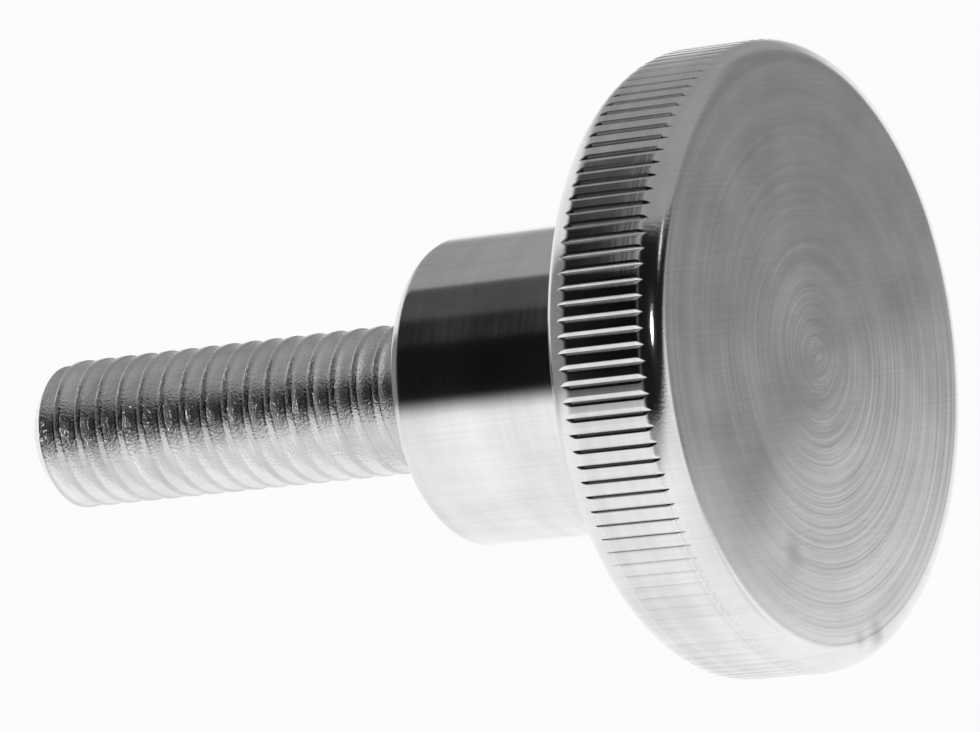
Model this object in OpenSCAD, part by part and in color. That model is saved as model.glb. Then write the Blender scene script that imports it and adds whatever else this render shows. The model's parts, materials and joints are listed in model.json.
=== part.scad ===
// Thumb screw: a knurled flat head, a round collar under it and a straight shank,
// all turned from one bar. The screw stands on its head. The origin is the centre
// of the head's flat face, and the shank points up along +Z.

/* [Head] */
// Diameter of the head over the crests of its knurl
head_d = 24; // [20:0.5:40]
// Thickness of the head, from its flat face to the side with the collar
head_t = 5.1; // [4:0.1:7]
// Radius of the rounding between the flat face and the knurl
front_r = 0.9; // [0.3:0.1:1.5]
// Radius of the rounding between the knurl and the side with the collar
rear_r = 1.3; // [0.3:0.1:1.7]

/* [Knurl] */
// Distance between two grooves, measured around the crests
groove_pitch = 0.6; // [0.5:0.1:1.6]
// Depth of each groove below the crests
groove_depth = 0.07; // [0.04:0.01:0.12]
// Angle between the two flanks of a groove
groove_angle = 115; // [90:5:120]

/* [Collar] */
// Diameter of the collar
collar_d = 12; // [10:0.5:15]
// Height of head and collar together, from the flat face to the shoulder
shoulder_h = 15.4; // [9:0.1:24]
// Radius of the rounding around the shoulder
shoulder_r = 0.5; // [0.1:0.1:0.8]
// Radius of the fillet in the corner between head and collar
root_r = 0.3; // [0.1:0.1:0.6]

/* [Shank] */
// Nominal diameter of the thread
thread_d = 6; // [4:0.5:8]
// How much smaller than nominal the thread measures over its crests
thread_allowance = 0.14; // [0:0.01:0.2]
// Length of the shank, from the shoulder to its end
shank_l = 19; // [6:0.5:60]
// Height of the chamfer at the shank's end
end_chamfer = 0.7; // [0.2:0.1:1]
// Angle between the chamfer and the shank's axis
end_angle = 45; // [30:5:60]

/* [Hidden] */
$fn = 360;
metal = [0.78, 0.78, 0.79];
// How far a cutting shape reaches past the surface it cuts
past = 1;
head_r = head_d / 2;
crest_r = (thread_d - thread_allowance) / 2;
tip_r = crest_r - end_chamfer * tan(end_angle);
total_h = shoulder_h + shank_l;
// The knurl has as many whole grooves as its pitch allows
groove_n = floor(PI * head_d / groove_pitch);
half_step = 180 / groove_n;
floor_r = head_r - groove_depth;
flank = tan(groove_angle / 2);
// Where the flanks of neighbouring grooves would meet, outside the crests
meet_r = floor_r * flank / (flank - tan(half_step)) / cos(half_step);

function polar(r, a) = [r * cos(a), r * sin(a)];

// What a rounding of radius r takes off a corner. The corner is at the origin,
// and what stays lies towards -X and -Y.
module corner_waste(r) {
    difference() {
        translate([-r, -r]) square(r + past);
        translate([-r, -r]) circle(r);
    }
}

// Half sections of the turned form: X is the radius and Y the height
module head_section() {
    difference() {
        square([head_r, head_t]);
        translate([head_r, 0]) mirror([0, 1]) corner_waste(front_r);
        translate([head_r, head_t]) corner_waste(rear_r);
    }
}

module root_section() {
    translate([collar_d / 2, head_t]) difference() {
        square(root_r);
        translate([root_r, root_r]) circle(root_r);
    }
}

module collar_section() {
    difference() {
        square([collar_d / 2, shoulder_h]);
        translate([collar_d / 2, shoulder_h]) corner_waste(shoulder_r);
    }
}

module shank_section() {
    polygon([
        [0, 0],
        [crest_r, 0],
        [crest_r, total_h - end_chamfer],
        [tip_r, total_h],
        [0, total_h]
    ]);
}

module turned_form() {
    rotate_extrude() {
        head_section();
        root_section();
        collar_section();
        shank_section();
    }
}

// Everything outside the flanks of the grooves, over the whole thickness of the head.
// The grooves run out in the roundings at both ends.
module knurl_waste() {
    translate([0, 0, -past]) linear_extrude(head_t + 2 * past) difference() {
        circle(head_r + past);
        polygon([
            for (i = [0:groove_n - 1], side = [0, 1])
                polar(side == 0 ? floor_r : meet_r, (2 * i + side) * half_step)
        ]);
    }
}

module thumb_screw() {
    color(metal) difference() {
        turned_form();
        knurl_waste();
    }
}

thumb_screw();
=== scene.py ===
"""Studio scene of a knurled thumb screw that stands on its head.

The screw is one turned piece: a knurled head, a collar and a threaded shank. Two
Geometry Nodes trees turn its outlines into a mesh, one for the head with its knurl
and one for the thread. Lengths are in millimetres until they reach Blender.
"""

from __future__ import annotations

import json
import logging
import math
import random
from dataclasses import dataclass, field
from enum import Enum

import bpy
from mathutils import Matrix, Vector


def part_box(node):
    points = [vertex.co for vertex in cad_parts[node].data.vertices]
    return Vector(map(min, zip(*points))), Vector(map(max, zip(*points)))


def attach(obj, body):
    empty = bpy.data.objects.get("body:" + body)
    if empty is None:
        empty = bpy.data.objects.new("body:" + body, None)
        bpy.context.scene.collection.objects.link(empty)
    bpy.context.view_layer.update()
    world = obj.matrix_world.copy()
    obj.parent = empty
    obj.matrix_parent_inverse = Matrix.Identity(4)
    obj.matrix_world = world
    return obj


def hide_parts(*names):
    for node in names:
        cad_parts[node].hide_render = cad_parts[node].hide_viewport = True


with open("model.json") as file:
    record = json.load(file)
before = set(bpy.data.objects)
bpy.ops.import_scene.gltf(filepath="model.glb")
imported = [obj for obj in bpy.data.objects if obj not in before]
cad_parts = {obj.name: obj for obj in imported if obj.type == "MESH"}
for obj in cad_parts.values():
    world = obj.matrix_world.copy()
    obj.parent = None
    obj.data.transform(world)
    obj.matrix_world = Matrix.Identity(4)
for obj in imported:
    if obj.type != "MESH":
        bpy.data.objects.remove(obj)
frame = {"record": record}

logging.basicConfig(level=logging.INFO, format="%(name)s: %(message)s")
log = logging.getLogger("thumb_screw")

MM = 0.001
NODE = "thumb_screw"
BODY = "root"

Point = tuple[float, float]
Point3 = tuple[float, float, float]
Socket = bpy.types.NodeSocket
Number = Socket | float
Place = Socket | Point3


def mount(name: str) -> dict:
    """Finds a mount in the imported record.

    Args:
        name: The mount's name.

    Returns:
        The mount's own entry.
    """
    return next(m for m in frame["record"]["mounts"] if m["name"] == name)


def arc(centre: Point, radius: float, start: float, end: float, steps: int) -> list[Point]:
    """Points along a round stretch of an outline, both ends included.

    Args:
        centre: Centre as radius from the axis and height.
        radius: Radius of the rounding.
        start: First angle in degrees, 0 outwards and 90 upwards.
        end: Last angle in degrees.
        steps: Number of straight steps.

    Returns:
        The points in order.
    """
    angles = [math.radians(start + (end - start) * i / steps) for i in range(steps + 1)]
    return [(centre[0] + radius * math.cos(a), centre[1] + radius * math.sin(a)) for a in angles]


class Nodes:
    """Writes a tree's nodes and links as short expressions."""

    def __init__(self, group: bpy.types.NodeTree) -> None:
        """Takes the tree that the nodes go into.

        Args:
            group: The tree.
        """
        self.group = group

    def node(
        self, kind: str, links: dict[str | int, object] | None = None, **settings: object
    ) -> bpy.types.Node:
        """Adds a node, sets it up and feeds its inputs.

        Args:
            kind: Blender's name of the node type.
            links: Input name or index to a socket or a value.
            settings: Properties of the node itself.

        Returns:
            The node.
        """
        made = self.group.nodes.new(kind)
        for key, value in settings.items():
            setattr(made, key, value)
        for key, value in (links or {}).items():
            self.feed(made.inputs[key], value)
        return made

    def feed(self, socket: Socket, value: object) -> None:
        """Links a socket, or sets its value where no socket is given.

        Args:
            socket: The input to feed.
            value: Another socket, or a plain value.
        """
        if isinstance(value, Socket):
            self.group.links.new(value, socket)
        else:
            socket.default_value = value

    def math(self, operation: str, *values: Number) -> Socket:
        """One step of arithmetic on up to three sockets or numbers.

        Args:
            operation: Blender's name of the operation, such as MULTIPLY.
            values: The operands in order.

        Returns:
            The result.
        """
        made = self.node("ShaderNodeMath", dict(enumerate(values)), operation=operation)
        return made.outputs[0]

    def point(self, x: Number, y: Number, z: Number) -> Socket:
        """Joins three numbers into a position."""
        return self.node("ShaderNodeCombineXYZ", {0: x, 1: y, 2: z}).outputs[0]

    def split(self, place: Place) -> tuple[Socket, ...]:
        """The three numbers of a position."""
        return tuple(self.node("ShaderNodeSeparateXYZ", {0: place}).outputs)

    def radius(self, x: Number, y: Number) -> Socket:
        """Distance from the Z axis."""
        squares = self.math("ADD", self.math("MULTIPLY", x, x), self.math("MULTIPLY", y, y))
        return self.math("SQRT", squares)

    def noise(
        self, place: Place, detail: float, scale: float = 1.0, fourth: Number | None = None
    ) -> Socket:
        """Uneven noise round 0.

        Args:
            place: Position in the noise.
            detail: How many finer layers are added.
            scale: Lumps on each unit of length.
            fourth: A fourth number of the position, where it needs one.

        Returns:
            A number from about -0.5 to 0.5.
        """
        links = {"Vector": place, "Scale": scale, "Detail": detail}
        if fourth is None:
            made = self.node("ShaderNodeTexNoise", links)
        else:
            made = self.node("ShaderNodeTexNoise", links | {"W": fourth}, noise_dimensions="4D")
        return self.math("SUBTRACT", made.outputs[0], 0.5)

    def fade(self, value: Number, start: Number, end: Number) -> Socket:
        """A smooth step from 0 at one value to 1 at another.

        Args:
            value: The number that is followed.
            start: Where the step begins.
            end: Where the step ends.

        Returns:
            A number from 0 to 1.
        """
        links = {"Value": value, "From Min": start, "From Max": end}
        return self.node("ShaderNodeMapRange", links, interpolation_type="SMOOTHSTEP").outputs[0]

    def mix(self, share: Number, first: Number, second: Number) -> Socket:
        """Blends two numbers.

        Args:
            share: Share of the second number, 0 to 1.
            first: The number at share 0.
            second: The number at share 1.

        Returns:
            The blend.
        """
        return self.node("ShaderNodeMix", {0: share, 2: first, 3: second}).outputs[0]


class Fit(Enum):
    """How two closed shapes are put together."""

    WELD = "UNION"
    TRIM = "INTERSECT"


class Tree(Nodes):
    """A Geometry Nodes tree with named inputs."""

    TOUCHING = 1e-6

    def __init__(self, name: str) -> None:
        """Makes an empty tree with a geometry input and output.

        Args:
            name: Name of the tree.
        """
        super().__init__(bpy.data.node_groups.new(name, "GeometryNodeTree"))
        face = self.group.interface
        face.new_socket(name="Geometry", in_out="INPUT", socket_type="NodeSocketGeometry")
        face.new_socket(name="Geometry", in_out="OUTPUT", socket_type="NodeSocketGeometry")
        self.inputs = self.group.nodes.new("NodeGroupInput")
        self.outputs = self.group.nodes.new("NodeGroupOutput")
        self.identifiers: dict[str, str] = {}

    def size(self, name: str, kind: str) -> Socket:
        """Adds a named input to the tree.

        Args:
            name: Name that the modifier shows.
            kind: Float, Int, Object or Material.

        Returns:
            The socket that carries the value inside the tree.
        """
        item = self.group.interface.new_socket(
            name=name, in_out="INPUT", socket_type=f"NodeSocket{kind}"
        )
        self.identifiers[name] = item.identifier
        return self.inputs.outputs[name]

    def polar(self, radius: Number, angle: Number, height: Number) -> Socket:
        """A position from its radius, its angle in radians and its height.

        Args:
            radius: Distance from the axis.
            angle: Angle around the axis.
            height: Height along the axis.

        Returns:
            The position.
        """
        x = self.math("MULTIPLY", radius, self.math("COSINE", angle))
        y = self.math("MULTIPLY", radius, self.math("SINE", angle))
        return self.point(x, y, height)

    def sample_outline(self, outline: Socket, index: Number) -> tuple[Socket, Socket]:
        """Radius and height of one point of an outline.

        Args:
            outline: Geometry whose points lie in order along the outline.
            index: Number of the point.

        Returns:
            The radius and the height.
        """
        where = self.node("GeometryNodeInputPosition").outputs[0]
        links = {"Geometry": outline, "Value": where, "Index": index}
        sample = self.node("GeometryNodeSampleIndex", links, data_type="FLOAT_VECTOR")
        radius, _, height = self.split(sample.outputs[0])
        return radius, height

    def choose(self, index: Number, *items: Number) -> Socket:
        """Picks one of several numbers by its place in the row.

        Args:
            index: Place of the number, counted from 0.
            items: The numbers.

        Returns:
            The number picked.
        """
        made = self.node("GeometryNodeIndexSwitch", data_type="FLOAT")
        while len(made.index_switch_items) < len(items):
            made.index_switch_items.new()
        self.feed(made.inputs["Index"], index)
        for i, item in enumerate(items):
            self.feed(made.inputs[1 + i], item)
        return made.outputs[0]

    def merge(self, geometry: Socket) -> Socket:
        """Merges points that touch."""
        links = {"Geometry": geometry, "Distance": self.TOUCHING}
        return self.node("GeometryNodeMergeByDistance", links).outputs[0]

    def flip(self, geometry: Socket) -> Socket:
        """Turns all faces over."""
        return self.node("GeometryNodeFlipFaces", {"Mesh": geometry}).outputs[0]

    def combine(self, fit: Fit, first: Socket, second: Socket) -> Socket:
        """Puts two closed shapes together.

        Args:
            fit: Whether they are welded or one is trimmed by the other.
            first: One shape.
            second: The other shape.

        Returns:
            The closed result.
        """
        made = self.node("GeometryNodeMeshBoolean", operation=fit.value, solver="MANIFOLD")
        both = made.inputs["Mesh 2"]
        self.group.links.new(first, both)
        self.group.links.new(second, both)
        return made.outputs[0]

    def mesh_of(self, carrier: Socket) -> Socket:
        """The geometry of an object that is given as an input."""
        return self.node("GeometryNodeObjectInfo", {"Object": carrier}).outputs["Geometry"]

    def finish(self, geometry: Socket, metal: Socket) -> None:
        """Ends the tree in Realize Instances and Set Material.

        Args:
            geometry: The finished shape.
            metal: The material input.
        """
        real = self.node("GeometryNodeRealizeInstances", {"Geometry": geometry})
        dressed = self.node(
            "GeometryNodeSetMaterial", {"Geometry": real.outputs[0], "Material": metal}
        )
        self.group.links.new(dressed.outputs[0], self.outputs.inputs[0])

    def apply(self, carrier: bpy.types.Object, values: dict[str, object]) -> bpy.types.Mesh:
        """Runs the tree on an object and takes the result as a plain mesh.

        Args:
            carrier: The object whose geometry goes in. It is removed afterwards.
            values: Input name to value.

        Returns:
            The new mesh.
        """
        modifier = carrier.modifiers.new(self.group.name, "NODES")
        modifier.node_group = self.group
        for name, value in values.items():
            modifier[self.identifiers[name]] = value
        graph = bpy.context.evaluated_depsgraph_get()
        made = bpy.data.meshes.new_from_object(carrier.evaluated_get(graph))
        carrier.modifiers.remove(modifier)
        bpy.data.objects.remove(carrier)
        return made


def outline_object(name: str, outline: list[Point]) -> bpy.types.Object:
    """Makes an object that holds an outline as a row of points.

    Args:
        name: Name of the object.
        outline: Radius and height of each point, in millimetres.

    Returns:
        The object, linked to the scene.
    """
    mesh = bpy.data.meshes.new(name)
    rows = [(radius * MM, 0.0, height * MM) for radius, height in outline]
    mesh.from_pydata(rows, [(i, i + 1) for i in range(len(rows) - 1)], [])
    made = bpy.data.objects.new(name, mesh)
    bpy.context.scene.collection.objects.link(made)
    return made


class Lathe:
    """Turns an outline round the Z axis, with straight grooves in its widest part.

    Each groove takes six columns of the mesh: the middle of the crest before it,
    the end of that crest, the near edge, the floor, the far edge and the start of
    the next crest. Where the outline lies inside the groove's floor the last five
    fall together and are merged. A crest ends a little outside the groove's edge, at
    CREST_END times half the groove's width from its middle.
    """

    COLUMNS = 6
    CREST_END = 1.7

    def __init__(self) -> None:
        """Builds the tree."""
        tree = Tree("lathe")
        outline = tree.inputs.outputs["Geometry"]
        grooves = tree.size("Grooves", "Int")
        floor_r = tree.size("Floor Radius", "Float")
        flank = tree.size("Flank Slope", "Float")
        metal = tree.size("Metal", "Material")

        count = tree.node("GeometryNodeAttributeDomainSize", {"Geometry": outline})
        columns = tree.math("MULTIPLY_ADD", grooves, self.COLUMNS, 1.0)
        rows = count.outputs["Point Count"]
        grid = tree.node("GeometryNodeMeshGrid", {"Vertices X": rows, "Vertices Y": columns})
        index = tree.node("GeometryNodeInputIndex").outputs[0]
        station = tree.math("FLOOR", tree.math("DIVIDE", index, columns))
        column = tree.math("SUBTRACT", index, tree.math("MULTIPLY", station, columns))
        groove = tree.math("FLOOR", tree.math("DIVIDE", column, self.COLUMNS))
        place = tree.math("SUBTRACT", column, tree.math("MULTIPLY", groove, self.COLUMNS))

        radius, height = tree.sample_outline(outline, station)
        step = tree.math("DIVIDE", math.tau, grooves)
        above = tree.math("MAXIMUM", tree.math("SUBTRACT", radius, floor_r), 0.0)
        half_width = tree.math("MULTIPLY", above, flank)
        safe_radius = tree.math("MAXIMUM", radius, tree.TOUCHING)
        half_angle = tree.math("DIVIDE", half_width, safe_radius)
        crest_middle = tree.math("MULTIPLY", step, -0.5)
        far_side = [tree.math("MULTIPLY", half_angle, share) for share in (1.0, self.CREST_END)]
        near_side = [tree.math("MULTIPLY", angle, -1.0) for angle in reversed(far_side)]
        offset = tree.choose(place, crest_middle, *near_side, 0.0, *far_side)
        floor = tree.math("MINIMUM", radius, floor_r)
        reach = tree.choose(place, radius, radius, radius, floor, radius, radius)
        angle = tree.math("MULTIPLY_ADD", groove, step, offset)
        moved = tree.node(
            "GeometryNodeSetPosition",
            {"Geometry": grid.outputs[0], "Position": tree.polar(reach, angle, height)},
        )
        closed = tree.merge(moved.outputs[0])
        tree.finish(tree.flip(closed), metal)
        self.tree = tree

    def turn(
        self,
        outline: list[Point],
        grooves: int,
        floor_r: float,
        flank: float,
        metal: bpy.types.Material,
    ) -> bpy.types.Mesh:
        """Turns one outline.

        Args:
            outline: Radius and height of each point, from the axis and back to it.
            grooves: Number of grooves.
            floor_r: Radius at the floor of a groove, in millimetres.
            flank: Half the groove's width over its depth.
            metal: The metal it is turned from.

        Returns:
            A closed mesh.
        """
        values = {
            "Grooves": grooves,
            "Floor Radius": floor_r * MM,
            "Flank Slope": flank,
            "Metal": metal,
        }
        return self.tree.apply(outline_object("outline", outline), values)


class Tap:
    """Winds the outline of one thread turn round the Z axis and fits it to the screw.

    The wound rod is longer than the shank at both ends. It is trimmed to the shank's
    own outline and then welded to the head.
    """

    def __init__(self) -> None:
        """Builds the tree."""
        tree = Tree("thread")
        outline = tree.inputs.outputs["Geometry"]
        pitch = tree.size("Pitch", "Float")
        turns = tree.size("Turns", "Int")
        steps = tree.size("Steps per Turn", "Int")
        low = tree.size("Start Height", "Float")
        crest_r = tree.size("Crest Radius", "Float")
        plain_to = tree.size("Plain up to", "Float")
        full_from = tree.size("Full from", "Float")
        shank = tree.size("Shank", "Object")
        head = tree.size("Head", "Object")
        metal = tree.size("Metal", "Material")

        rows = tree.node("GeometryNodeAttributeDomainSize", {"Geometry": outline})
        around = tree.math("MULTIPLY_ADD", turns, steps, 1.0)
        across = rows.outputs["Point Count"]
        grid = tree.node("GeometryNodeMeshGrid", {"Vertices X": around, "Vertices Y": across})
        index = tree.node("GeometryNodeInputIndex").outputs[0]
        step = tree.math("FLOOR", tree.math("DIVIDE", index, across))
        row = tree.math("SUBTRACT", index, tree.math("MULTIPLY", step, across))
        radius, rise = tree.sample_outline(outline, row)
        turn = tree.math("DIVIDE", step, steps)
        height = tree.math("ADD", tree.math("MULTIPLY_ADD", turn, pitch, low), rise)
        reach = tree.mix(tree.fade(height, plain_to, full_from), crest_r, radius)
        angle = tree.math("MULTIPLY", turn, math.tau)
        wound = tree.node(
            "GeometryNodeSetPosition",
            {"Geometry": grid.outputs[0], "Position": tree.polar(reach, angle, height)},
        )
        tube = tree.merge(wound.outputs[0])
        rod = self.close_ends(tree, tube, low, pitch, turns)
        trimmed = tree.combine(Fit.TRIM, rod, tree.mesh_of(shank))
        whole = tree.combine(Fit.WELD, trimmed, tree.mesh_of(head))
        tree.finish(whole, metal)
        self.tree = tree

    def close_ends(
        self, tree: Tree, tube: Socket, low: Number, pitch: Number, turns: Number
    ) -> Socket:
        """Closes the two open ends of the wound tube with a fan to the axis.

        Args:
            tree: The tree that is being built.
            tube: The open tube.
            low: Height of the lower end.
            pitch: Height of one turn.
            turns: Number of turns.

        Returns:
            The closed rod.
        """
        beside = tree.node("GeometryNodeInputMeshEdgeNeighbors").outputs[0]
        rim = tree.node("FunctionNodeCompare", {2: beside, 3: 1}, data_type="INT", operation="EQUAL")
        drawn = tree.node(
            "GeometryNodeExtrudeMesh",
            {"Mesh": tube, "Selection": rim.outputs[0], "Offset Scale": 0.0},
            mode="EDGES",
        )
        place = tree.node("GeometryNodeInputPosition").outputs[0]
        _, _, height = tree.split(place)
        rise = tree.math("MULTIPLY", pitch, turns)
        middle = tree.math("MULTIPLY_ADD", rise, 0.5, low)
        high = tree.math("ADD", tree.math("ADD", low, rise), pitch)
        upper = tree.math("GREATER_THAN", height, middle)
        apex = tree.choose(upper, low, high)
        gathered = tree.node(
            "GeometryNodeSetPosition",
            {
                "Geometry": drawn.outputs["Mesh"],
                "Selection": drawn.outputs["Top"],
                "Position": tree.point(0.0, 0.0, apex),
            },
        )
        return tree.merge(gathered.outputs[0])

    def wind(self, outline: list[Point], values: dict[str, object]) -> bpy.types.Mesh:
        """Winds the outline of one turn and fits it to the screw.

        Args:
            outline: Radius and height of each point, from root to root.
            values: Input name to value.

        Returns:
            The whole screw as a closed mesh.
        """
        return self.tree.apply(outline_object("thread_outline", outline), values)


@dataclass(frozen=True)
class Mark:
    """A soft dark mark that handling left on the flat face, in millimetres."""

    at: Point
    reach: float
    loss: float


FACE_MARKS = (
    Mark((0.6, -0.6), 4.0, 0.13),
    Mark((-2.3, 6.5), 2.6, 0.12),
    Mark((1.4, 6.6), 2.4, 0.10),
    Mark((1.8, 2.8), 3.0, 0.22),
    Mark((4.2, 5.9), 3.2, 0.33),
    Mark((2.6, 7.6), 2.2, 0.12),
    Mark((-1.8, -7.6), 2.4, 0.12),
    Mark((7.3, 3.5), 1.0, 0.20),
    Mark((10.8, -2.3), 0.8, 0.32),
    Mark((10.9, -0.9), 0.6, 0.22),
)


@dataclass(frozen=True)
class TurnedMetal:
    """Bright metal with fine ring-shaped marks from the lathe, duller in its grooves.

    Each loss and each shade is a share of the brightness, and lengths are in metres. The knurled band
    and the thread's crests are darkened in the colour as painted shade.
    """

    head_r: float
    crest_r: float
    rim_from: float
    rim_to: float
    shoulder: float
    name: str = "turned_metal"
    colour: tuple[float, float, float] = (0.78, 0.78, 0.79)
    roughness: float = 0.12
    dull_roughness: float = 0.26
    thread_roughness: float = 0.07
    # Painted shade: the whole knurled band is darkened in the colour.
    band_shade: float = 0.08
    # Painted shade: the thread's crests are darkened in the colour.
    crest_shade: float = 0.20
    crest_depth: float = 0.1 * MM
    dull_depth: float = 0.03 * MM
    anisotropy: float = 0.6
    across_the_rings: float = 0.25
    ring_pitch: float = 0.28 * MM
    ring_depth: float = 0.0034 * MM
    ring_spread: float = 0.6
    hair_pitch: float = 0.1 * MM
    hair_depth: float = 0.0008 * MM
    stain_pitch: float = 1.3 * MM
    stain_loss: float = 0.35
    streak_length: float = 5.0 * MM
    streak_pitch: float = 0.12 * MM
    streak_loss: float = 0.16
    ring_loss: float = 0.14
    smudge_size: float = 3.0 * MM
    smudge_loss: float = 0.30
    smudge_gain: float = 0.05
    grit_size: float = 0.1 * MM
    grit_depth: float = 0.022 * MM
    rounding_grit: float = 0.12
    rounding_hair: float = 5.0
    fine_detail: float = 3.0
    streak_detail: float = 2.0
    ring_detail: float = 1.0
    marks: tuple[Mark, ...] = FACE_MARKS

    def build(self) -> bpy.types.Material:
        """Makes the material.

        Returns:
            The finished material.
        """
        metal = bpy.data.materials.new(self.name)
        metal.use_nodes = True
        metal.node_tree.nodes.clear()
        draw = Nodes(metal.node_tree)
        place = draw.node("ShaderNodeTexCoord").outputs["Object"]
        rings = self.rings(draw, place, self.ring_pitch)
        hairs = self.rings(draw, place, self.hair_pitch)
        grit = draw.noise(place, self.fine_detail, 1.0 / self.grit_size)
        knurl, band, thread, crest, rounding = self.regions(draw, place)
        # Painted shade: the knurled band and the thread's crests are darkened in the colour.
        loss = draw.math(
            "MULTIPLY_ADD", crest, self.crest_shade, draw.math("MULTIPLY", band, self.band_shade)
        )
        hair_depth = draw.mix(rounding, self.hair_depth, self.hair_depth * self.rounding_hair)
        grit_depth = draw.math("MULTIPLY_ADD", rounding, self.rounding_grit, thread)
        depth = 0.0
        for noise, gain in (
            (rings, self.ring_depth),
            (hairs, hair_depth),
            (grit, draw.math("MULTIPLY", grit_depth, self.grit_depth)),
        ):
            depth = draw.math("MULTIPLY_ADD", noise, gain, depth)
        bump = draw.node("ShaderNodeBump", {"Strength": 1.0, "Distance": 1.0, "Height": depth})
        smudge = draw.noise(place, self.fine_detail, 1.0 / self.smudge_size)
        plain = draw.mix(knurl, self.roughness, self.dull_roughness)
        plain = draw.mix(thread, plain, self.thread_roughness)
        rough = draw.math("MULTIPLY_ADD", smudge, self.smudge_gain, plain)
        tangent = draw.node("ShaderNodeTangent", direction_type="RADIAL", axis="Z")
        shader = draw.node(
            "ShaderNodeBsdfPrincipled",
            {
                "Base Color": self.tint(draw, place, loss, smudge, rings),
                "Metallic": 1.0,
                "Roughness": rough,
                "Anisotropic": self.anisotropy,
                "Anisotropic Rotation": self.across_the_rings,
                "Tangent": tangent.outputs[0],
                "Normal": bump.outputs[0],
            },
        )
        draw.node("ShaderNodeOutputMaterial", {"Surface": shader.outputs[0]})
        return metal

    def tint(self, draw: Nodes, place: Place, loss: Number, smudge: Number, ring: Number) -> Socket:
        """The metal's colour with its faint rings, streaks, smudges and marks, and its painted shade.

        Args:
            draw: The tree.
            place: Position on the part.
            loss: Share of the brightness that is missing, the painted shade of the knurled band and
                the thread's crests.
            smudge: Uneven patches left by handling, about -0.5 to 0.5.
            ring: Fine rings, about -0.5 to 0.5.

        Returns:
            The colour.
        """
        x, y, z = draw.split(place)
        stain = self.rings(draw, place, self.stain_pitch)
        along = draw.point(
            draw.math("DIVIDE", x, self.streak_pitch),
            draw.math("DIVIDE", y, self.streak_length),
            draw.math("DIVIDE", z, self.streak_length),
        )
        streak = draw.noise(along, self.streak_detail)
        light = draw.math("SUBTRACT", 1.0, loss)
        for patch, strength in (
            (stain, self.stain_loss),
            (ring, self.ring_loss),
            (streak, self.streak_loss),
            (smudge, self.smudge_loss),
        ):
            light = draw.math("MULTIPLY_ADD", patch, strength, light)
        for mark in self.marks:
            centre = (mark.at[0] * MM, mark.at[1] * MM, 0.0)
            away = draw.node("ShaderNodeVectorMath", {0: place, 1: centre}, operation="DISTANCE")
            there = draw.fade(away.outputs["Value"], mark.reach * MM, 0.0)
            light = draw.math("MULTIPLY_ADD", there, -mark.loss, light)
        links = {0: self.colour, "Scale": light}
        return draw.node("ShaderNodeVectorMath", links, operation="SCALE").outputs[0]

    def regions(self, draw: Nodes, place: Place) -> tuple[Socket, ...]:
        """Tells the knurl's grooves and band, the thread, its crests and the front rounding apart.

        Args:
            draw: The tree.
            place: Position on the part.

        Returns:
            Five numbers, each 1 in its own region and 0 elsewhere.
        """
        x, y, z = draw.split(place)
        radius = draw.radius(x, y)
        pressed = draw.fade(radius, self.head_r, self.head_r - self.dull_depth)
        low = draw.fade(z, self.rim_from - self.dull_depth, self.rim_from)
        high = draw.fade(z, self.rim_to + self.dull_depth, self.rim_to)
        band = draw.math("MULTIPLY", low, high)
        knurl = draw.math("MULTIPLY", band, pressed)
        thread = draw.fade(z, self.shoulder, self.shoulder + self.dull_depth)
        outer = draw.fade(radius, self.crest_r - self.crest_depth, self.crest_r)
        crest = draw.math("MULTIPLY", thread, outer)
        flat_to = self.head_r - self.rim_from
        below = draw.fade(z, self.rim_from, self.rim_from - self.dull_depth)
        beside = draw.fade(radius, flat_to, flat_to + self.dull_depth)
        return knurl, band, thread, crest, draw.math("MULTIPLY", below, beside)

    def rings(self, draw: Nodes, place: Place, pitch: float) -> Socket:
        """Noise that is drawn out into rings round the Z axis.

        Args:
            draw: The tree.
            place: Position on the part.
            pitch: Distance from ring to ring.

        Returns:
            A number from about -0.5 to 0.5 that wanders from ring to ring.
        """
        x, y, z = draw.split(place)
        radius = draw.radius(x, y)
        safe = draw.math("MAXIMUM", radius, pitch)
        east = draw.math("MULTIPLY", draw.math("DIVIDE", x, safe), self.ring_spread)
        north = draw.math("MULTIPLY", draw.math("DIVIDE", y, safe), self.ring_spread)
        where = draw.point(draw.math("DIVIDE", radius, pitch), draw.math("DIVIDE", z, pitch), east)
        return draw.noise(where, self.ring_detail, fourth=north)


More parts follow.
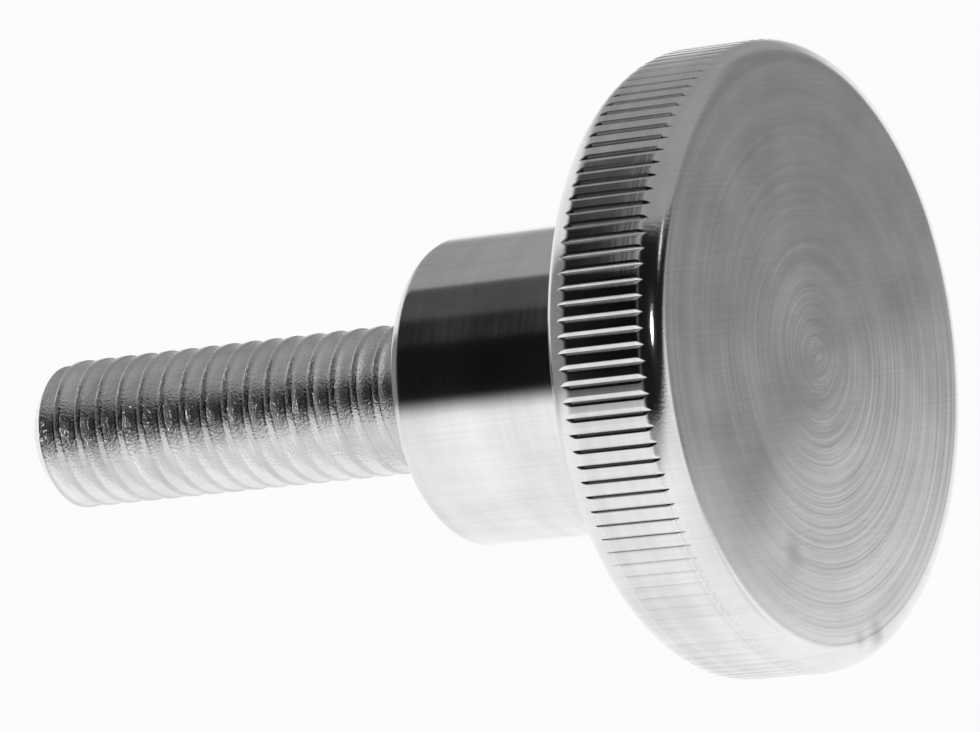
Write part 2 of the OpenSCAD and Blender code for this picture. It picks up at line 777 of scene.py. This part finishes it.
@dataclass
class ThumbScrew:
    """The screw: a knurled head, a collar and a threaded shank in one piece.

    Lengths are in millimetres and angles in degrees.
    """

    head_t: float = 5.1
    front_r: float = 0.9
    rear_r: float = 1.3
    grooves: int = 125
    groove_depth: float = 0.07
    groove_angle: float = 115.0
    collar_r: float = 6.0
    root_r: float = 0.3
    shoulder_r: float = 0.5
    end_chamfer: float = 0.7
    pitch: float = 1.0
    thread_root_r: float = 2.387
    root_rounding: float = 0.09
    crest_rounding: float = 0.07
    flank_angle: float = 30.0
    runout_from: float = 0.2
    runout_to: float = 1.6
    hidden_turns: float = 3.33
    buried_turns: float = 2.0
    cut_clearance: float = 0.05
    wave_pitch: float = 0.21
    wave_depth: float = 0.0014
    seed: int = 6
    plain_run: float = 0.1
    front_steps: int = 12
    rear_steps: int = 14
    root_steps: int = 5
    shoulder_steps: int = 8
    thread_root_steps: int = 4
    thread_crest_steps: int = 3
    steps_per_turn: int = 96
    shank_sides: int = 24
    sharp_edge: float = 40.0
    head_r: float = field(init=False)
    height: float = field(init=False)
    shoulder: float = field(init=False)
    crest_r: float = field(init=False)

    def __post_init__(self) -> None:
        """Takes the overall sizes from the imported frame."""
        low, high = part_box(NODE)
        self.head_r = (high[1] - low[1]) / 2 / MM
        self.height = high[2] / MM
        self.shoulder = mount("shoulder")["pos_m"][2] / MM
        self.crest_r = mount("threaded_shank")["dims"]["r_mm"]

    def build(self, metal: bpy.types.Material) -> bpy.types.Object:
        """Turns, threads and joins the screw.

        Args:
            metal: The metal it is made of.

        Returns:
            The finished piece.
        """
        lathe = Lathe()
        flank = math.tan(math.radians(self.groove_angle / 2))
        blank = lathe.turn(self.head_outline(), self.grooves, self.groove_floor_r, flank, metal)
        head = self.helper("head", blank)
        rod = lathe.turn(self.shank_outline(), self.shank_sides, self.head_r, 0.0, metal)
        shank = self.helper("shank", rod)
        start = self.shoulder - self.hidden_turns * self.pitch
        turns = math.ceil((self.height - start) / self.pitch) + 1
        values = {
            "Pitch": self.pitch * MM,
            "Turns": turns,
            "Steps per Turn": self.steps_per_turn,
            "Start Height": start * MM,
            "Crest Radius": self.crest_r * MM,
            "Plain up to": (self.shoulder + self.runout_from) * MM,
            "Full from": (self.shoulder + self.runout_to) * MM,
            "Shank": shank,
            "Head": head,
            "Metal": metal,
        }
        mesh = Tap().wind(self.thread_outline(), values)
        for used in (head, shank):
            bpy.data.objects.remove(used)
        mesh.shade_smooth()
        mesh.set_sharp_from_angle(angle=math.radians(self.sharp_edge))
        piece = bpy.data.objects.new("thumb_screw_turned", mesh)
        bpy.context.scene.collection.objects.link(piece)
        return piece

    @property
    def groove_floor_r(self) -> float:
        """Radius at the floor of a knurl groove."""
        return self.head_r - self.groove_depth

    def helper(self, name: str, mesh: bpy.types.Mesh) -> bpy.types.Object:
        """Puts a mesh in an object that a tree can read.

        Args:
            name: Name of the object.
            mesh: The mesh.

        Returns:
            The object, linked to the scene.
        """
        made = bpy.data.objects.new(name, mesh)
        bpy.context.scene.collection.objects.link(made)
        return made

    def head_outline(self) -> list[Point]:
        """Outline of the head and collar, from the axis round to the axis.

        Returns:
            Radius and height of each point.
        """
        rim, top, side = self.head_r, self.head_t, self.collar_r
        front_at = rim - self.front_r
        rear_at = rim - self.rear_r
        root_at = (side + self.root_r, top + self.root_r)
        edge_at = (side - self.shoulder_r, self.shoulder - self.shoulder_r)
        front = arc((front_at, self.front_r), self.front_r, -90, 0, self.front_steps)
        rear = arc((rear_at, top - self.rear_r), self.rear_r, 0, 90, self.rear_steps)
        root = arc(root_at, self.root_r, 270, 180, self.root_steps)
        edge = arc(edge_at, self.shoulder_r, 0, 90, self.shoulder_steps)
        run = self.plain_run
        face = self.turned_face(front_at - run)
        back = [(rear_at - run, top), (root_at[0] + run, top)]
        wall = [(side, root_at[1] + run), (side, edge_at[1] - run)]
        end = [(edge_at[0] - run, self.shoulder), (0.0, self.shoulder)]
        return face + front + rear + back + root + wall + edge + end

    def turned_face(self, reach: float) -> list[Point]:
        """The flat face with the shallow waves that the turning tool leaves.

        Args:
            reach: Radius up to which the waves go.

        Returns:
            Radius and height of each point, from the axis outwards.
        """
        chance = random.Random(self.seed)
        count = round(reach / self.wave_pitch)
        waves = [(reach * i / count, self.wave_depth * chance.random()) for i in range(1, count)]
        return [(0.0, self.wave_depth)] + waves + [(reach, 0.0)]

    def shank_outline(self) -> list[Point]:
        """Outline that the threaded rod is cut to, from inside the collar to the end.

        Returns:
            Radius and height of each point.
        """
        reach = self.crest_r + self.cut_clearance
        tip = self.crest_r - self.end_chamfer
        low, high = self.shoulder - self.buried_turns * self.pitch, self.height
        slope_start = high - self.end_chamfer - self.cut_clearance
        return [(0.0, low), (reach, low), (reach, slope_start), (tip, high), (0.0, high)]

    def thread_outline(self) -> list[Point]:
        """Outline of one thread turn, from root to root.

        Returns:
            Radius and height of each point.
        """
        flank = math.radians(self.flank_angle)
        root, crest = self.root_rounding, self.crest_rounding
        straight = self.crest_r - self.thread_root_r - (1 - math.sin(flank)) * (root + crest)
        centre = math.cos(flank) * (root + crest) + straight * math.tan(flank)
        turn = 90.0 - self.flank_angle
        root_at, crest_at = self.thread_root_r + root, self.crest_r - crest
        root_steps, crest_steps = self.thread_root_steps, self.thread_crest_steps
        low = arc((root_at, 0.0), root, 180, 180 - turn, root_steps)
        low_edge = arc((crest_at, centre), crest, -turn, 0, crest_steps)
        high_edge = arc((crest_at, self.pitch - centre), crest, 0, turn, crest_steps)
        high = arc((root_at, self.pitch), root, 180 + turn, 180, root_steps)
        return low + low_edge + high_edge + high

    def finish(self) -> TurnedMetal:
        """The metal's finish, which follows the screw's own sizes.

        Returns:
            The finish.
        """
        return TurnedMetal(
            head_r=self.head_r * MM,
            crest_r=self.crest_r * MM,
            rim_from=self.front_r * MM,
            rim_to=(self.head_t - self.rear_r) * MM,
            shoulder=self.shoulder * MM,
        )

    def dress(self, piece: bpy.types.Object) -> None:
        """Gives the piece its place in the model.

        Args:
            piece: The finished piece.
        """
        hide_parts(NODE)
        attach(piece, BODY)


@dataclass(frozen=True)
class Card:
    """One part of the studio that the metal mirrors, cut out by soft-edged planes.

    Each edge is a direction and two distances along it. The card is absent up to the
    first distance and whole from the second.
    """

    name: str
    level: float
    edges: tuple[tuple[Point3, float, float], ...]


EAST = (1.0, 0.0, 0.0)
WEST = (-1.0, 0.0, 0.0)
NORTH = (0.0, 1.0, 0.0)
SOUTH = (0.0, -1.0, 0.0)
UP = (0.0, 0.0, 1.0)
DOWN = (0.0, 0.0, -1.0)
EAST_BY_NORTH = (0.906, 0.423, 0.0)

GAP_NORTH = (NORTH, 0.03, 0.08)
GAP_WEST = (WEST, -0.3, 0.0)
GAP_LOW = (UP, 0.43, 0.48)
GAP_HIGH = (DOWN, -0.70, -0.62)

# A gap is a dark opening between two bright walls.
CARDS = (
    Card("face_side", 0.24, ((SOUTH, 0.5, 0.75), (DOWN, 0.15, 0.4))),
    Card("ceiling", 0.98, ((UP, 0.62, 0.80),)),
    Card("rear_wall", 1.0, ((SOUTH, 0.0, 0.2), (EAST, -0.5, -0.14), ((0.6, 0.0, 0.8), -0.36, -0.27))),
    Card("rear_floor", 1.0, ((SOUTH, 0.5, 0.8), ((0.948, 0.0, 0.319), -0.158, -0.090))),
    Card(
        "low_side_wall",
        1.0,
        (((1.0, -0.3, -0.2), 0.12, 0.42), (DOWN, -0.4, -0.1), (NORTH, -0.8, -0.5)),
    ),
    Card(
        "low_gap",
        0.01,
        (
            (EAST_BY_NORTH, -0.46, -0.38),
            ((-1.0, 0.25, 0.0), -0.12, 0.0),
            (DOWN, -0.3, 0.0),
            (NORTH, -0.85, -0.55),
        ),
    ),
    Card("gap", 0.003, (GAP_NORTH, GAP_WEST, GAP_LOW, GAP_HIGH)),
    Card(
        "near_gap",
        0.003,
        (GAP_NORTH, GAP_WEST, ((0.788, 0.616, 0.0), -0.05, 0.05), (UP, 0.0, 0.3), GAP_HIGH),
    ),
    Card("gap_side", 0.065, ((WEST, 0.70, 0.76), GAP_NORTH, GAP_LOW, GAP_HIGH)),
    Card(
        "high_gap",
        0.25,
        ((UP, 0.60, 0.68), (EAST_BY_NORTH, -0.42, -0.28), (WEST, -0.15, 0.0), (NORTH, -0.45, -0.2)),
    ),
    Card("high_side_wall", 1.0, ((EAST, 0.0, 0.3), (UP, 0.1, 0.4))),
    Card("patch", 1.0, (((0.0, -0.855, 0.518), 0.94, 0.985),)),
    Card("low_window", 1.5, (((-0.353, -0.097, -0.930), 0.9962, 0.9986),)),
    Card("spark", 48.0, (((-0.2, 0.5169, -0.8326), 0.99965, 0.99988),)),
)


@dataclass(frozen=True)
class Surround:
    """Brightness of the studio by direction, as the metal mirrors it.

    A later card covers what it shares with the ones before it.
    """

    backdrop: float = 0.97
    dim_wall: float = 0.36
    cards: tuple[Card, ...] = CARDS

    def build(self, world: bpy.types.World) -> None:
        """Writes the surround into the world.

        Args:
            world: The scene's world.
        """
        world.use_nodes = True
        world.node_tree.nodes.clear()
        draw = Nodes(world.node_tree)
        ray = draw.node("ShaderNodeTexCoord").outputs["Generated"]
        level = self.dim_wall
        for card in self.cards:
            level = draw.mix(self.share(draw, ray, card), level, card.level)
            level.node.label = card.name
        seen = draw.node("ShaderNodeLightPath").outputs["Is Camera Ray"]
        shown = draw.mix(seen, level, self.backdrop)
        glow = draw.node("ShaderNodeBackground", {"Color": shown, "Strength": 1.0})
        draw.node("ShaderNodeOutputWorld", {"Surface": glow.outputs[0]})

    def share(self, draw: Nodes, ray: Socket, card: Card) -> Number:
        """How much of a card lies in a direction.

        Args:
            draw: The tree.
            ray: The direction.
            card: The card.

        Returns:
            A number from 0 to 1.
        """
        whole = 1.0
        for toward, start, end in card.edges:
            along = draw.node("ShaderNodeVectorMath", {0: ray, 1: toward}, operation="DOT_PRODUCT")
            whole = draw.math("MULTIPLY", whole, draw.fade(along.outputs["Value"], start, end))
        return whole


@dataclass(frozen=True)
class Studio:
    """Floor, lamp and camera.

    The floor and the lamp are in metres. The camera is in millimetres and degrees.
    """

    floor_r: float = 0.9
    floor_drop: float = 0.00005
    floor_corners: int = 128
    floor_grey: float = 0.9
    fade_from: float = 0.25
    fade_to: float = 0.85
    lamp_at: Point3 = (0.15, 0.1, 0.7)
    lamp_width: float = 0.6
    lamp_power: float = 6.0
    camera_at: Point3 = (-0.897, 237.026, -129.242)
    camera_aim: Point3 = (-0.897, 6.107, 10.623)
    camera_roll: float = -96.41
    lens: float = 263.53
    sensor: float = 36.0
    seen_from: float = 10.0
    seen_to: float = 10000.0

    def build(self) -> None:
        """Makes the surround, the floor, the lamp and the camera."""
        scene = bpy.context.scene
        scene.world = bpy.data.worlds.new("studio")
        Surround().build(scene.world)
        scene.view_settings.view_transform = "Standard"
        self.floor()
        self.lamp()
        scene.camera = self.camera()

    def floor(self) -> bpy.types.Object:
        """Makes the pale floor.

        It is seen from above only, so it never hides the underside of the head.

        Returns:
            The floor.
        """
        mesh = bpy.data.meshes.new("floor")
        angles = [math.tau * i / self.floor_corners for i in range(self.floor_corners)]
        reach, level = self.floor_r, -self.floor_drop
        rim = [(reach * math.cos(a), reach * math.sin(a), level) for a in angles]
        mesh.from_pydata(rim, [], [tuple(range(len(rim)))])
        floor = bpy.data.objects.new("floor", mesh)
        bpy.context.scene.collection.objects.link(floor)
        floor.data.materials.append(self.floor_paint())
        floor.visible_diffuse = False
        floor.visible_glossy = False
        floor.visible_shadow = False
        floor.visible_transmission = False
        return floor

    def floor_paint(self) -> bpy.types.Material:
        """Makes the floor's matt paint, which fades into the backdrop far from the part.

        Returns:
            The finished paint.
        """
        paint = bpy.data.materials.new("floor_paint")
        paint.use_nodes = True
        paint.node_tree.nodes.clear()
        draw = Nodes(paint.node_tree)
        place = draw.node("ShaderNodeTexCoord").outputs["Object"]
        far = draw.node("ShaderNodeVectorMath", {0: place}, operation="LENGTH").outputs["Value"]
        gone = draw.fade(far, self.fade_from, self.fade_to)
        under = draw.node("ShaderNodeNewGeometry").outputs["Backfacing"]
        clear = draw.math("MAXIMUM", gone, under)
        matt = draw.node("ShaderNodeBsdfDiffuse", {"Color": (*[self.floor_grey] * 3, 1.0)})
        nothing = draw.node("ShaderNodeBsdfTransparent")
        both = draw.node("ShaderNodeMixShader", {0: clear, 1: matt.outputs[0], 2: nothing.outputs[0]})
        draw.node("ShaderNodeOutputMaterial", {"Surface": both.outputs[0]})
        return paint

    def lamp(self) -> None:
        """Makes the soft overhead lamp."""
        soft = bpy.data.lights.new("soft_box", "AREA")
        soft.shape = "DISK"
        soft.size = self.lamp_width
        soft.energy = self.lamp_power
        lamp = bpy.data.objects.new("soft_box", soft)
        lamp.location = self.lamp_at
        lamp.rotation_euler = Vector(lamp.location).to_track_quat("Z", "Y").to_euler()
        lamp.visible_glossy = False
        lamp.visible_camera = False
        bpy.context.scene.collection.objects.link(lamp)

    def camera(self) -> bpy.types.Object:
        """Makes the camera.

        Returns:
            The camera.
        """
        data = bpy.data.cameras.new("camera")
        data.lens = self.lens
        data.sensor_width = self.sensor
        data.clip_start = self.seen_from * MM
        data.clip_end = self.seen_to * MM
        place = Vector(self.camera_at) * MM
        forward = (Vector(self.camera_aim) * MM - place).normalized()
        roll = Matrix.Rotation(math.radians(self.camera_roll), 3, "Z")
        turned = forward.to_track_quat("-Z", "Y").to_matrix() @ roll
        camera = bpy.data.objects.new("camera", data)
        camera.matrix_world = Matrix.Translation(place) @ turned.to_4x4()
        bpy.context.scene.collection.objects.link(camera)
        return camera


def main() -> None:
    """Builds the screw and the studio."""
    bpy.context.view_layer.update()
    screw = ThumbScrew()
    piece = screw.build(screw.finish().build())
    screw.dress(piece)
    log.info("%s: %d faces", piece.name, len(piece.data.polygons))
    Studio().build()


if __name__ == "__main__":
    main()
